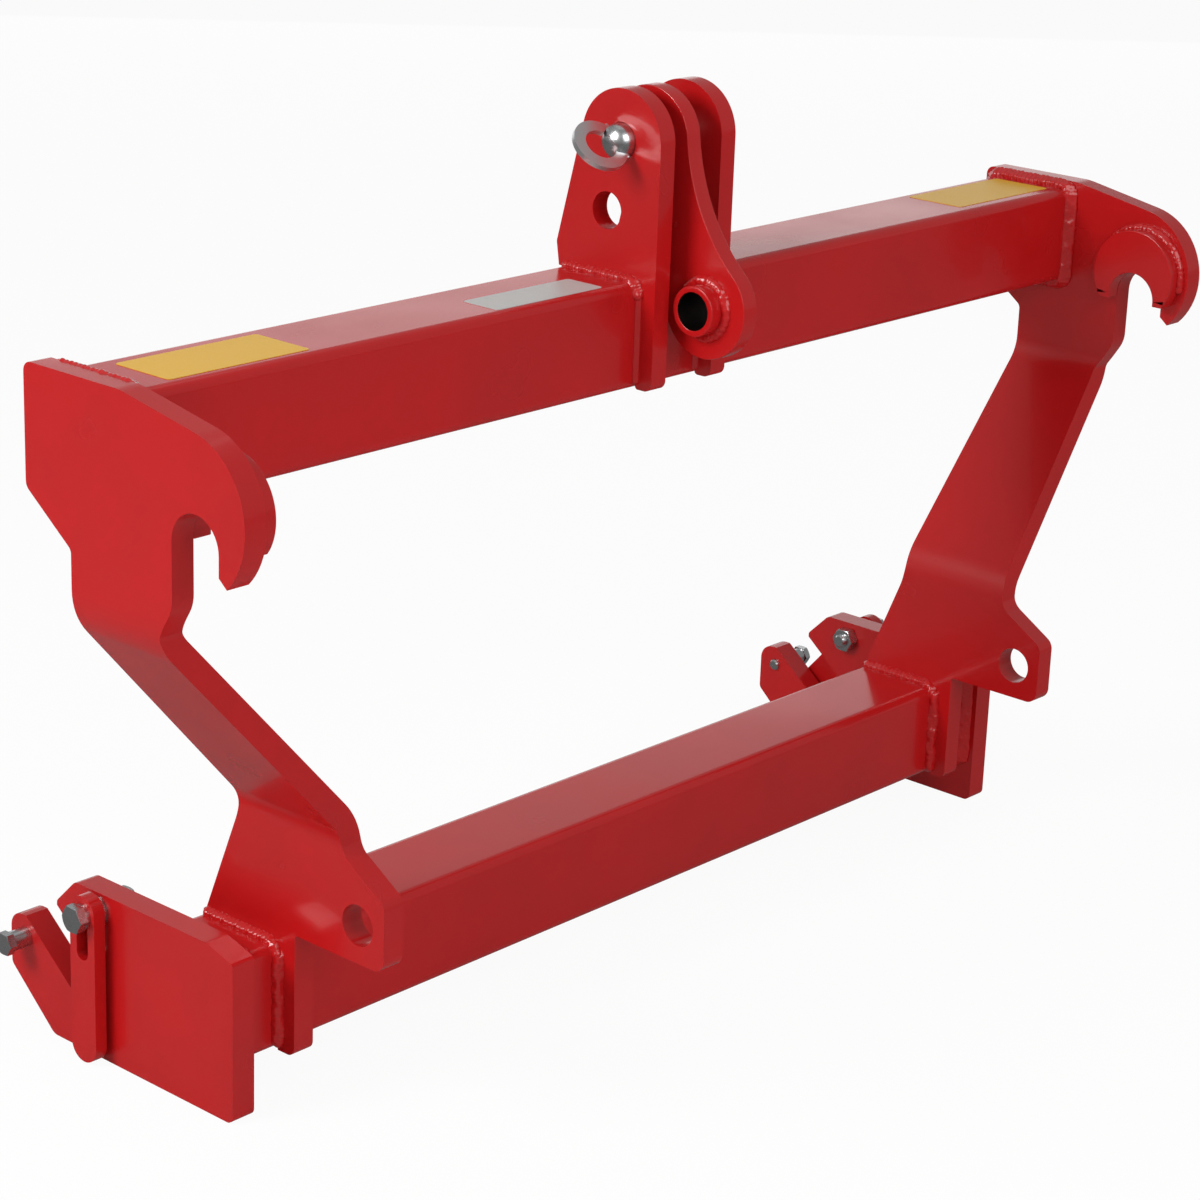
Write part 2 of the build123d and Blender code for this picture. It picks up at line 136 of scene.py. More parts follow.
def add_node(tree: bpy.types.NodeTree, kind: str, settings: Optional[dict[str, Any]] = None,
             inputs: Optional[dict[Any, Any]] = None) -> bpy.types.Node:
    """Add one shader node, set it and link it.

    Args:
        tree: node tree that gets the node.
        kind: Blender's name of the node type.
        settings: attributes of the node itself.
        inputs: socket name or number to a value, or to the output socket that feeds it.

    Returns:
        The new node.
    """
    node = tree.nodes.new(kind)
    for name, value in (settings or {}).items():
        setattr(node, name, value)
    for socket, value in (inputs or {}).items():
        if isinstance(value, bpy.types.NodeSocket):
            tree.links.new(value, node.inputs[socket])
        else:
            node.inputs[socket].default_value = value
    return node


def new_material(name: str) -> tuple[bpy.types.Material, bpy.types.NodeTree, bpy.types.NodeSocket]:
    """Start an empty node material.

    Args:
        name: the material's name.

    Returns:
        The material, its node tree and the surface socket of its output.
    """
    material = bpy.data.materials.new(name)
    material.use_nodes = True
    tree = material.node_tree
    tree.nodes.clear()
    output = tree.nodes.new("ShaderNodeOutputMaterial")
    return material, tree, output.inputs["Surface"]


def object_coordinates(tree: bpy.types.NodeTree) -> bpy.types.NodeSocket:
    """Return the Object coordinates of the surface, in metres."""
    return add_node(tree, "ShaderNodeTexCoord").outputs["Object"]


def white_to_camera(tree: bpy.types.NodeTree,
                    glossy_white: float) -> tuple[bpy.types.NodeSocket, bpy.types.NodeSocket]:
    """Add the nodes that make a surround white to the camera and dimmer in reflections.

    Args:
        tree: node tree that gets the nodes.
        glossy_white: how bright the surround is in reflections.

    Returns:
        The surround's brightness, and the socket that says whether a ray is a reflection.
    """
    path = add_node(tree, "ShaderNodeLightPath")
    glossy = path.outputs["Is Glossy Ray"]
    seen = add_node(tree, "ShaderNodeMath", {"operation": "MAXIMUM"}, {
        0: path.outputs["Is Camera Ray"], 1: path.outputs["Is Transmission Ray"]})
    dim = add_node(tree, "ShaderNodeMath", {"operation": "MULTIPLY"}, {0: glossy, 1: glossy_white})
    white = add_node(tree, "ShaderNodeMath", {"operation": "MAXIMUM"}, {
        0: seen.outputs[0], 1: dim.outputs[0]})
    return white.outputs[0], glossy


@dataclass(frozen=True)
class SprayedEnamel:
    """Glossy synthetic enamel sprayed on steel: deep even red under a wet-looking skin.

    The skin shows a faint orange peel a few millimetres wide, and the film is a little
    thicker in places, which the eye reads as soft clouds of slightly darker red.
    """

    name: str = "sprayed_red_enamel"
    colour: str = "#C41719"
    thick_colour: str = "#AD1214"
    cloud_mm: float = 90.0
    peel_mm: float = 3.5
    peel_height_mm: float = 0.03
    peel_strength: float = 0.35
    roughness: float = 0.2
    roughness_spread: float = 0.08
    ior: float = 1.5
    coat: float = 0.25
    coat_roughness: float = 0.05

    def build(self) -> bpy.types.Material:
        """Build the node material of this finish.

        Returns:
            The material.
        """
        material, tree, surface = new_material(self.name)
        where = object_coordinates(tree)
        clouds = add_node(tree, "ShaderNodeTexNoise", {"noise_dimensions": "3D"}, {
            "Vector": where, "Scale": 1000 / self.cloud_mm, "Detail": 3.0, "Roughness": 0.5})
        shade = add_node(tree, "ShaderNodeMix", {"data_type": "RGBA"}, {
            0: clouds.outputs["Fac"], 6: linear(self.colour), 7: linear(self.thick_colour)})
        peel = add_node(tree, "ShaderNodeTexNoise", {"noise_dimensions": "3D"}, {
            "Vector": where, "Scale": 1000 / self.peel_mm, "Detail": 1.0, "Roughness": 0.4})
        gloss = add_node(tree, "ShaderNodeMapRange", {}, {
            "Value": clouds.outputs["Fac"], "From Min": NOISE_LOW, "From Max": NOISE_HIGH,
            "To Min": self.roughness, "To Max": self.roughness + self.roughness_spread})
        bump = add_node(tree, "ShaderNodeBump", {}, {
            "Strength": self.peel_strength, "Distance": self.peel_height_mm * MM,
            "Height": peel.outputs["Fac"]})
        shader = add_node(tree, "ShaderNodeBsdfPrincipled", {}, {
            "Base Color": shade.outputs[2], "Roughness": gloss.outputs["Result"],
            "IOR": self.ior, "Coat Weight": self.coat, "Coat Roughness": self.coat_roughness,
            "Normal": bump.outputs["Normal"]})
        tree.links.new(shader.outputs["BSDF"], surface)
        return material


@dataclass(frozen=True)
class PlatedSteel:
    """Bright electroplated zinc on forged and turned steel: grey metal with a soft, slightly mottled shine.

    The forging shows through, so the shine wavers over dents a few millimetres wide.
    """

    name: str = "bright_zinc_plate"
    colour: str = "#DADBDC"
    dull_colour: str = "#B2B4B5"
    mottle_mm: float = 5.0
    dent_mm: float = 7.0
    dent_depth_mm: float = 0.15
    dent_strength: float = 0.5
    roughness: float = 0.2
    roughness_spread: float = 0.12

    def build(self) -> bpy.types.Material:
        """Build the node material of this finish.

        Returns:
            The material.
        """
        material, tree, surface = new_material(self.name)
        where = object_coordinates(tree)
        mottle = add_node(tree, "ShaderNodeTexNoise", {"noise_dimensions": "3D"}, {
            "Vector": where, "Scale": 1000 / self.mottle_mm, "Detail": 4.0, "Roughness": 0.6})
        shade = add_node(tree, "ShaderNodeMix", {"data_type": "RGBA"}, {
            0: mottle.outputs["Fac"], 6: linear(self.colour), 7: linear(self.dull_colour)})
        gloss = add_node(tree, "ShaderNodeMapRange", {}, {
            "Value": mottle.outputs["Fac"], "From Min": NOISE_LOW, "From Max": NOISE_HIGH,
            "To Min": self.roughness, "To Max": self.roughness + self.roughness_spread})
        dents = add_node(tree, "ShaderNodeTexNoise", {"noise_dimensions": "3D"}, {
            "Vector": where, "Scale": 1000 / self.dent_mm, "Detail": 1.0, "Roughness": 0.4})
        bump = add_node(tree, "ShaderNodeBump", {}, {
            "Strength": self.dent_strength, "Distance": self.dent_depth_mm * MM,
            "Height": dents.outputs["Fac"]})
        shader = add_node(tree, "ShaderNodeBsdfPrincipled", {}, {
            "Base Color": shade.outputs[2], "Roughness": gloss.outputs["Result"], "Metallic": 1.0,
            "Normal": bump.outputs["Normal"]})
        tree.links.new(shader.outputs["BSDF"], surface)
        return material


@dataclass(frozen=True)
class SmoothPlatedSteel(PlatedSteel):
    """The same zinc on smooth drawn strip: paler, with a wide soft shine and hardly a dent."""

    name: str = "smooth_zinc_plate"
    colour: str = "#E6E7E8"
    dull_colour: str = "#D2D4D5"
    mottle_mm: float = 14.0
    dent_mm: float = 12.0
    dent_depth_mm: float = 0.08
    roughness: float = 0.3
    roughness_spread: float = 0.06


@dataclass(frozen=True)
class PaintedBoreShade:
    """Painted shade inside the bore: a nearly black, dull brown-grey metal that stands in for the shade deep
    in the bore, with random darker patches.
    """

    name: str = "painted_bore_shade"
    # Two near-black tones of the painted shade in the bore.
    colour: str = "#3A322E"
    deeper_shade_colour: str = "#241D1A"
    patch_mm: float = 6.0
    roughness: float = 0.5

    def build(self) -> bpy.types.Material:
        """Build the node material of this finish.

        Returns:
            The material.
        """
        material, tree, surface = new_material(self.name)
        patches = add_node(tree, "ShaderNodeTexNoise", {"noise_dimensions": "3D"}, {
            "Vector": object_coordinates(tree), "Scale": 1000 / self.patch_mm, "Detail": 3.0})
        shade = add_node(tree, "ShaderNodeMix", {"data_type": "RGBA"}, {
            0: patches.outputs["Fac"], 6: linear(self.colour), 7: linear(self.deeper_shade_colour)})
        shader = add_node(tree, "ShaderNodeBsdfPrincipled", {}, {
            "Base Color": shade.outputs[2], "Roughness": self.roughness, "Metallic": 1.0})
        tree.links.new(shader.outputs["BSDF"], surface)
        return material


@dataclass(frozen=True)
class StickerFilm:
    """Blank self-adhesive vinyl film: an even colour with a satin face.

    Its grain is finer on the real film, and is drawn wide enough to show.
    """

    name: str
    colour: str
    grain_mm: float = 1.2
    grain_height_mm: float = 0.02
    grain_strength: float = 0.2
    roughness: float = 0.38
    roughness_spread: float = 0.05
    ior: float = 1.46

    def build(self) -> bpy.types.Material:
        """Build the node material of this finish.

        Returns:
            The material.
        """
        material, tree, surface = new_material(self.name)
        where = object_coordinates(tree)
        grain = add_node(tree, "ShaderNodeTexNoise", {"noise_dimensions": "3D"}, {
            "Vector": where, "Scale": 1000 / self.grain_mm, "Detail": 2.0})
        gloss = add_node(tree, "ShaderNodeMapRange", {}, {
            "Value": grain.outputs["Fac"], "From Min": NOISE_LOW, "From Max": NOISE_HIGH,
            "To Min": self.roughness - self.roughness_spread,
            "To Max": self.roughness + self.roughness_spread})
        bump = add_node(tree, "ShaderNodeBump", {}, {
            "Strength": self.grain_strength, "Distance": self.grain_height_mm * MM,
            "Height": grain.outputs["Fac"]})
        shader = add_node(tree, "ShaderNodeBsdfPrincipled", {}, {
            "Base Color": linear(self.colour), "Roughness": gloss.outputs["Result"],
            "IOR": self.ior, "Normal": bump.outputs["Normal"]})
        tree.links.new(shader.outputs["BSDF"], surface)
        return material


@dataclass(frozen=True)
class StudioFloor:
    """Pale seamless paper floor: white to the camera, dimmer in reflections, and it keeps the soft shadow."""

    name: str = "pale_paper_floor"
    paper: str = "#F4F4F4"
    white_share: float = 0.94
    glossy_white: float = 0.13

    def build(self) -> bpy.types.Material:
        """Build the node material of this finish.

        Returns:
            The material.
        """
        material, tree, surface = new_material(self.name)
        white, glossy = white_to_camera(tree, self.glossy_white)
        either = add_node(tree, "ShaderNodeMath", {"operation": "MAXIMUM"}, {0: white, 1: glossy})
        amount = add_node(tree, "ShaderNodeMath", {"operation": "MULTIPLY"}, {
            0: either.outputs[0], 1: self.white_share})
        matt = add_node(tree, "ShaderNodeBsdfDiffuse", {}, {"Color": linear(self.paper)})
        glow = add_node(tree, "ShaderNodeEmission", {}, {"Color": linear("#FFFFFF"), "Strength": white})
        mix = add_node(tree, "ShaderNodeMixShader", {}, {
            0: amount.outputs[0], 1: matt.outputs[0], 2: glow.outputs[0]})
        tree.links.new(mix.outputs[0], surface)
        return material


def deselect_all() -> None:
    """Leave object mode with nothing selected."""
    if bpy.context.object is not None and bpy.context.object.mode != "OBJECT":
        bpy.ops.object.mode_set(mode="OBJECT")
    bpy.ops.object.select_all(action="DESELECT")


def make_active(piece: bpy.types.Object) -> None:
    """Select one object alone and make it the active one.

    Args:
        piece: the object.
    """
    deselect_all()
    piece.select_set(True)
    bpy.context.view_layer.objects.active = piece


def apply_modifiers(piece: bpy.types.Object) -> None:
    """Apply every modifier of a piece, from the top down.

    Args:
        piece: the piece.
    """
    make_active(piece)
    for modifier in list(piece.modifiers):
        bpy.ops.object.modifier_apply(modifier=modifier.name)


def settle(piece: bpy.types.Object) -> None:
    """Put a piece's place into its mesh, so that its object sits at the origin."""
    make_active(piece)
    bpy.ops.object.transform_apply(location=True, rotation=True, scale=True)


def mend_mesh(piece: bpy.types.Object) -> None:
    """Merge the doubled vertices of a turned piece and point its faces outwards.

    Args:
        piece: the piece to mend.
    """
    make_active(piece)
    bpy.ops.object.mode_set(mode="EDIT")
    bpy.ops.mesh.select_all(action="SELECT")
    bpy.ops.mesh.remove_doubles(threshold=TURNED_MERGE_MM * MM)
    bpy.ops.mesh.normals_make_consistent(inside=False)
    bpy.ops.object.mode_set(mode="OBJECT")


def dress(piece: bpy.types.Object, material: bpy.types.Material, body: str) -> None:
    """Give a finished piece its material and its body.

    Args:
        piece: the finished piece.
        material: its material.
        body: the CAD body that it moves with.
    """
    piece.data.materials.clear()
    piece.data.materials.append(material)
    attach(piece, body)


def join(pieces: list[bpy.types.Object], name: str) -> bpy.types.Object:
    """Join several meshes into one piece.

    Args:
        pieces: the meshes, at their places.
        name: the name of the whole.

    Returns:
        The joined piece.
    """
    deselect_all()
    for piece in pieces:
        piece.select_set(True)
    bpy.context.view_layer.objects.active = pieces[0]
    if len(pieces) > 1:
        bpy.ops.object.join()
    whole = bpy.context.view_layer.objects.active
    whole.name = name
    whole.data.name = name
    return whole


def eased_copy(node: str, name: str, edge_mm: float) -> bpy.types.Object:
    """Copy a CAD node with its sharp edges rounded over, as paint leaves them.

    Args:
        node: the CAD node to copy.
        name: the new piece's name.
        edge_mm: width of the rounding, or 0 for edges that stay as they are.

    Returns:
        The new piece, at the node's place.
    """
    mesh = frame["nodes"][node].data.copy()
    mesh.materials.clear()
    piece = bpy.data.objects.new(name, mesh)
    bpy.context.scene.collection.objects.link(piece)
    make_active(piece)
    bpy.ops.object.mode_set(mode="EDIT")
    bpy.ops.mesh.select_all(action="SELECT")
    bpy.ops.mesh.remove_doubles(threshold=CAD_MERGE_MM * MM)
    bpy.ops.mesh.dissolve_limited(angle_limit=math.radians(FLAT_DEGREES))
    bpy.ops.mesh.quads_convert_to_tris(quad_method="BEAUTY", ngon_method="BEAUTY")
    bpy.ops.object.mode_set(mode="OBJECT")
    if edge_mm > 0:
        bevel = piece.modifiers.new("eased_edges", "BEVEL")
        bevel.width = edge_mm * MM
        bevel.segments = EASED_STEPS
        bevel.limit_method = "ANGLE"
        bevel.angle_limit = math.radians(SHARP_DEGREES)
        bevel.use_clamp_overlap = True
        apply_modifiers(piece)
    smooth_edges(piece)
    return piece


def copy_piece(piece: bpy.types.Object, name: str) -> bpy.types.Object:
    """Copy a piece together with its mesh.

    Args:
        piece: the piece to copy.
        name: the copy's name.

    Returns:
        The copy.
    """
    twin = piece.copy()
    twin.data = piece.data.copy()
    twin.name = name
    twin.data.name = name
    bpy.context.scene.collection.objects.link(twin)
    return twin


def place(piece: bpy.types.Object, at: Vector, turned: bool = False) -> None:
    """Move a piece to its place and put that place into its mesh.

    Args:
        piece: the piece, modelled at the origin.
        at: where its origin goes, in metres.
        turned: whether it is turned half round about the vertical first.
    """
    piece.location = at
    piece.rotation_euler = (0, 0, math.pi if turned else 0)
    settle(piece)


def middle(node: str, x: float) -> Vector:
    """Return the middle of a CAD node as seen along X, at a place along X in metres."""
    low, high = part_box(node)
    return Vector((x, (low.y + high.y) / 2, (low.z + high.z) / 2))


def lathe(name: str, profile_mm: list[tuple[float, float]], steps: int = 36) -> bpy.types.Object:
    """Turn a profile about the X axis, as on a lathe.

    Args:
        name: the piece's name.
        profile_mm: pairs of place along X and radius, from one end to the other.
        steps: facets round the piece.

    Returns:
        The turned piece, with its axis on the X axis.
    """
    deselect_all()
    bpy.ops.mesh.primitive_plane_add(size=1.0, location=(0, 0, 0))
    piece = bpy.context.object
    piece.name = name
    bpy.ops.object.mode_set(mode="EDIT")
    bpy.ops.mesh.select_all(action="SELECT")
    bpy.ops.mesh.merge(type="CENTER")
    x, radius = profile_mm[0]
    bpy.ops.transform.translate(value=(x * MM, 0, radius * MM))
    for next_x, next_radius in profile_mm[1:]:
        step = ((next_x - x) * MM, 0, (next_radius - radius) * MM)
        bpy.ops.mesh.extrude_vertices_move(TRANSFORM_OT_translate={"value": step})
        x, radius = next_x, next_radius
    bpy.ops.mesh.select_all(action="SELECT")
    bpy.ops.mesh.spin(steps=steps, angle=math.tau, center=(0, 0, 0), axis=(1, 0, 0))
    bpy.ops.object.mode_set(mode="OBJECT")
    mend_mesh(piece)
    return piece


def cut_with(piece: bpy.types.Object, tool: bpy.types.Object, leaves: Cut) -> None:
    """Cut a piece with another one, which is used up.

    Args:
        piece: the piece to cut.
        tool: the piece that cuts it.
        leaves: which part of the piece is left.
    """
    cutter = piece.modifiers.new("cut", "BOOLEAN")
    cutter.operation = leaves.value
    cutter.solver = "EXACT"
    cutter.object = tool
    apply_modifiers(piece)
    bpy.data.objects.remove(tool)


def hexagon(name: str, across_flats_mm: float, height_mm: float, both_ends: bool) -> bpy.types.Object:
    """Model a bolt head or nut blank whose corners are turned off at 30 degrees.

    Args:
        name: the piece's name.
        across_flats_mm: size of the spanner that fits it.
        height_mm: its height along X, from 0.
        both_ends: whether both ends are turned off, as on a nut.

    Returns:
        The blank, with two corners along Y.
    """
    deselect_all()
    centre = (height_mm / 2 * MM, 0, 0)
    bpy.ops.mesh.primitive_cylinder_add(vertices=6, radius=across_flats_mm / math.sqrt(3) * MM,
                                        depth=height_mm * MM, location=centre, rotation=(0, QUARTER_TURN, 0))
    blank = bpy.context.object
    blank.name = name
    settle(blank)
    tip = across_flats_mm * HEAD_TIP_SHARE
    wide = tip + height_mm * math.sqrt(3)
    for turn in ((QUARTER_TURN, -QUARTER_TURN) if both_ends else (QUARTER_TURN,)):
        bpy.ops.mesh.primitive_cone_add(vertices=48, radius1=wide * MM, radius2=tip * MM,
                                        depth=height_mm * MM, location=centre, rotation=(0, turn, 0))
        cone = bpy.context.object
        settle(cone)
        cut_with(blank, cone, Cut.COMMON_PART)
    return blank


def smooth_edges(piece: bpy.types.Object) -> None:
    """Shade a piece smooth, apart from sharp edges, with the large faces kept flat.

    Args:
        piece: the piece to shade.
    """
    make_active(piece)
    bpy.ops.object.shade_smooth_by_angle(angle=math.radians(SHARP_DEGREES))
    flat = piece.modifiers.new("flat_faces", "WEIGHTED_NORMAL")
    flat.keep_sharp = True
    apply_modifiers(piece)


@dataclass
class SteelWork:
    """Every CAD node whose shape is right, copied with rounded edges and dressed."""

    material: bpy.types.Material
    slot: Slot
    edges_mm: dict[str, float]

    def build(self) -> list[bpy.types.Object]:
        """Copy and dress the nodes.

        Returns:
            The finished pieces, one for each node.
        """
        pieces = []
        bodies = frame["record"]["behaviour"]["bodies"]
        for node, edge_mm in self.edges_mm.items():
            body = next(name for name, members in bodies.items() if node in members)
            piece = eased_copy(node, node + "_finished", edge_mm)
            dress(piece, self.material, body)
            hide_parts(node)
            pieces.append(piece)
        return pieces


def paint_bore_shade(piece: bpy.types.Object, radius_mm: float, material: bpy.types.Material) -> None:
    """Paint the inside of a round piece's bore along X with a material of its own, a painted shade.

    Args:
        piece: the dressed piece, round about the middle of its box.
        radius_mm: faces nearer to the axis than this lie inside the bore.
        material: the painted shade inside.
    """
    sides = [(v.co.y, v.co.z) for v in piece.data.vertices]
    hub_y = (min(y for y, _ in sides) + max(y for y, _ in sides)) / 2
    hub_z = (min(z for _, z in sides) + max(z for _, z in sides)) / 2
    piece.data.materials.append(material)
    for face in piece.data.polygons:
        if math.hypot(face.center.y - hub_y, face.center.z - hub_z) < radius_mm * MM:
            face.material_index = 1


@dataclass
class HexBolt:
    """Hexagon bolt with a turned-off head and a threaded tail.

    The thread's depth and crest are shares of its pitch, and the turned-off tail is one of the diameter.
    """

    name: str
    diameter_mm: float
    across_flats_mm: float
    head_mm: float
    length_mm: float
    pitch_mm: float
    thread_mm: float = 16.0
    thread_depth_share: float = 0.6
    crest_share: float = 0.1
    tail_share: float = 0.125
    inside_head_mm: float = 1.0

    def profile(self) -> list[tuple[float, float]]:
        """Work out the outline of the shank and its thread, from inside the head to the tail.

        Returns:
            Pairs of place along X and radius, in mm.
        """
        radius = self.diameter_mm / 2
        root = radius - self.thread_depth_share * self.pitch_mm
        turned = self.diameter_mm * self.tail_share
        points = [(self.inside_head_mm, 0.0), (self.inside_head_mm, radius)]
        x = self.thread_mm - self.length_mm
        while x - self.pitch_mm > turned - self.length_mm:
            points += [(x, radius), (x - self.pitch_mm / 2, root),
                       (x - self.pitch_mm * (1 - self.crest_share), radius)]
            x -= self.pitch_mm
        points += [(turned - self.length_mm, radius), (-self.length_mm, radius - turned),
                   (-self.length_mm, 0.0)]
        return points

    def model(self) -> bpy.types.Object:
        """Model the bolt along X, with the underside of its head at the origin.

        Returns:
            The bolt.
        """
        head = hexagon(self.name, self.across_flats_mm, self.head_mm, both_ends=False)
        shank = lathe(self.name + "_shank", self.profile())
        bolt = join([head, shank], self.name)
        smooth_edges(bolt)
        return bolt


@dataclass
class Fasteners:
    """The pivot bolts with nuts, collars and spacers, and the stop bolts, in place of the plain CAD ones."""

    material: bpy.types.Material
    pivot_head_mm: float = 7.5
    pivot_flats_mm: float = 19.0
    pivot_d_mm: float = 12.0
    pivot_pitch_mm: float = 1.75
    stop_head_mm: float = 6.4
    stop_flats_mm: float = 16.0
    stop_d_mm: float = 10.0
    stop_pitch_mm: float = 1.5
    collar_r_mm: float = 9.8
    collar_mm: float = 2.5
    spacer_r_mm: float = 12.0
    spacer_mm: float = 3.8
    ring_play_mm: float = 0.2
    nut_play_mm: float = 0.05
    drill_mm: float = 100.0

    def seat(self, node: str, head_mm: float) -> Vector:
        """Find where the underside of a bolt's head lies, on the right side.

        Args:
            node: a right bolt, or both bolts in one node.
            head_mm: height of the head.

        Returns:
            The middle of the underside in metres.
        """
        right_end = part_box(node)[1].x
        return middle(node, right_end - head_mm * MM)

    def mirrored_pair(self, right: bpy.types.Object, at: Vector, kind: str) -> list[bpy.types.Object]:
        """Place one fastener on the right and a turned copy of it on the left.

        Args:
            right: the fastener, modelled at the origin.
            at: its place on the right.
            kind: what it is, for the names of both.

        Returns:
            The right and the left piece.
        """
        left = copy_piece(right, f"{kind}_left_finished")
        right.name = f"{kind}_right_finished"
        place(right, at)
        place(left, Vector((-at.x, at.y, at.z)), turned=True)
        return [right, left]

    def pivot_bolt(self) -> bpy.types.Object:
        """Model a pivot bolt as long as the CAD one.

        Returns:
            The bolt, with the underside of its head at the origin.
        """
        low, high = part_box("pivot_bolt_right")
        length_mm = (high.x - low.x) / MM - self.pivot_head_mm
        return HexBolt("pivot_bolt", self.pivot_d_mm, self.pivot_flats_mm, self.pivot_head_mm, length_mm,
                       self.pivot_pitch_mm).model()

    def pivot_nut(self) -> bpy.types.Object:
        """Model a pivot nut as high as the CAD one.

        Returns:
            The nut, with its inner face at the origin.
        """
        low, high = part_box("pivot_nut_right")
        nut = hexagon("pivot_nut", self.pivot_flats_mm, (high.x - low.x) / MM, both_ends=True)
        bore_mm = self.pivot_d_mm / 2 + self.nut_play_mm
        bpy.ops.mesh.primitive_cylinder_add(vertices=36, radius=bore_mm * MM, depth=self.drill_mm * MM,
                                            rotation=(0, QUARTER_TURN, 0))
        cut_with(nut, bpy.context.object, Cut.REST)
        smooth_edges(nut)
        return nut

    def collars(self) -> bpy.types.Object:
        """Model the right collar under the head and the spacer behind the latch bar, on the X axis.

        Returns:
            Both rings as one piece.
        """
        low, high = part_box("pivot_washers_right")
        bore = self.pivot_d_mm / 2 + self.ring_play_mm
        rings = []
        for start, end, radius in ((high.x / MM - self.collar_mm, high.x / MM, self.collar_r_mm),
                                   (low.x / MM, low.x / MM + self.spacer_mm, self.spacer_r_mm)):
            profile = [(start, bore), (start, radius), (end, radius), (end, bore), (start, bore)]
            rings.append(lathe("collar", profile))
        both = join(rings, "collars")
        smooth_edges(both)
        return both

    def pivots(self) -> list[bpy.types.Object]:
        """Model, place and dress what the latch bars turn on.

        Returns:
            The finished bolts, nuts and rings.
        """
        seat = self.seat("pivot_bolt_right", self.pivot_head_mm)
        nut_face = middle("pivot_nut_right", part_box("pivot_nut_right")[0].x)
        pieces = self.mirrored_pair(self.pivot_bolt(), seat, "pivot_bolt")
        pieces += self.mirrored_pair(self.pivot_nut(), nut_face, "pivot_nut")
        pieces += self.mirrored_pair(self.collars(), middle("pivot_nut_right", 0.0), "pivot_washers")
        for piece in pieces:
            node = piece.name.removesuffix("_finished")
            dress(piece, self.material, "pivot_right" if "right" in node else "pivot_left")
            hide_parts(node)
        return pieces

    def stops(self) -> bpy.types.Object:
        """Model, place and dress the stop bolts.

        Returns:
            Both bolts as one piece.
        """
        seat = self.seat("stop_bolts", self.stop_head_mm)
        tail = min(v.co.x for v in frame["nodes"]["stop_bolts"].data.vertices if v.co.x > 0)
        bolt = HexBolt("stop_bolt", self.stop_d_mm, self.stop_flats_mm, self.stop_head_mm,
                       (seat.x - tail) / MM, self.stop_pitch_mm).model()
        both = join(self.mirrored_pair(bolt, seat, "stop_bolt"), "stop_bolts_finished")
        dress(both, self.material, "frame")
        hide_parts("stop_bolts")
        return both

    def build(self) -> list[bpy.types.Object]:
        """Return every fastener, modelled, placed and dressed."""
        return self.pivots() + [self.stops()]


@dataclass
class TopPin:
    """Round top-link pin with a head on the right and a smooth domed end on the left.

    Its low dome ends a little short of the longer one of the CAD pin.
    """

    material: bpy.types.Material
    shank_r_mm: float = 14.0
    end_r_mm: float = 13.4
    head_r_mm: float = 20.0
    head_mm: float = 8.0
    shoulder_x_mm: float = -41.5
    dome_x_mm: float = -45.5
    dome_steps: int = 12
    shorter_mm: float = 3.0
    head_edge_mm: float = 1.3
    head_edge_step_mm: float = 0.4

    def build(self) -> bpy.types.Object:
        """Model and dress the pin.

        Returns:
            The finished piece.
        """
        low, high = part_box("top_pin")
        head = high.x / MM
        dome_mm = self.dome_x_mm - low.x / MM - self.shorter_mm
        profile = [(head, 0.0), (head, self.head_r_mm - self.head_edge_mm),
                   (head - self.head_edge_step_mm, self.head_r_mm - self.head_edge_step_mm),
                   (head - self.head_edge_mm, self.head_r_mm), (head - self.head_mm, self.head_r_mm),
                   (head - self.head_mm, self.shank_r_mm), (self.shoulder_x_mm, self.shank_r_mm)]
        for step in range(self.dome_steps + 1):
            turn = QUARTER_TURN * step / self.dome_steps
            profile.append((self.dome_x_mm - dome_mm * math.sin(turn), self.end_r_mm * math.cos(turn)))
        piece = lathe("top_pin_finished", profile, steps=48)
        place(piece, middle("top_pin", 0.0))
        smooth_edges(piece)
        dress(piece, self.material, "pin")
        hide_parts("top_pin")
        return piece


def spaced(start: Vector, end: Vector, spacing_mm: float) -> list[Vector]:
    """Return evenly spaced points from one place to another, both included."""
    count = max(1, round((end - start).length / (spacing_mm * MM)))
    return [start.lerp(end, i / count) for i in range(count + 1)]


def tube_path(beam: str, x: float, faces: tuple[Face, ...], corner_mm: float,
              spacing_mm: float) -> list[Vector]:
    """Walk round a square tube at one place along X, over its round corners.

    Args:
        beam: the tube's node.
        x: where the walk lies, in metres.
        faces: the faces to walk over, in order.
        corner_mm: outer radius of the tube's corners.
        spacing_mm: distance between points.

    Returns:
        The points of the walk.
    """
    low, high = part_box(beam)
    c = corner_mm * MM
    runs = {
        Face.TOP: (Vector((x, high.y - c, high.z)), Vector((x, low.y + c, high.z))),
        Face.FRONT: (Vector((x, low.y, high.z - c)), Vector((x, low.y, low.z + c))),
        Face.BOTTOM: (Vector((x, low.y + c, low.z)), Vector((x, high.y - c, low.z))),
        Face.REAR: (Vector((x, high.y, low.z + c)), Vector((x, high.y, high.z - c))),
    }
    points: list[Vector] = []
    for face in faces:
        start, end = runs[face]
        if points:
            last = points[-1]
            upright = face in (Face.FRONT, Face.REAR)
            hub = Vector((x, last.y, start.z)) if upright else Vector((x, start.y, last.z))
            for turn in (math.pi / 6, math.pi / 3):
                points.append(hub + (last - hub) * math.cos(turn) + (start - hub) * math.sin(turn))
        points += spaced(start, end, spacing_mm)
    return points


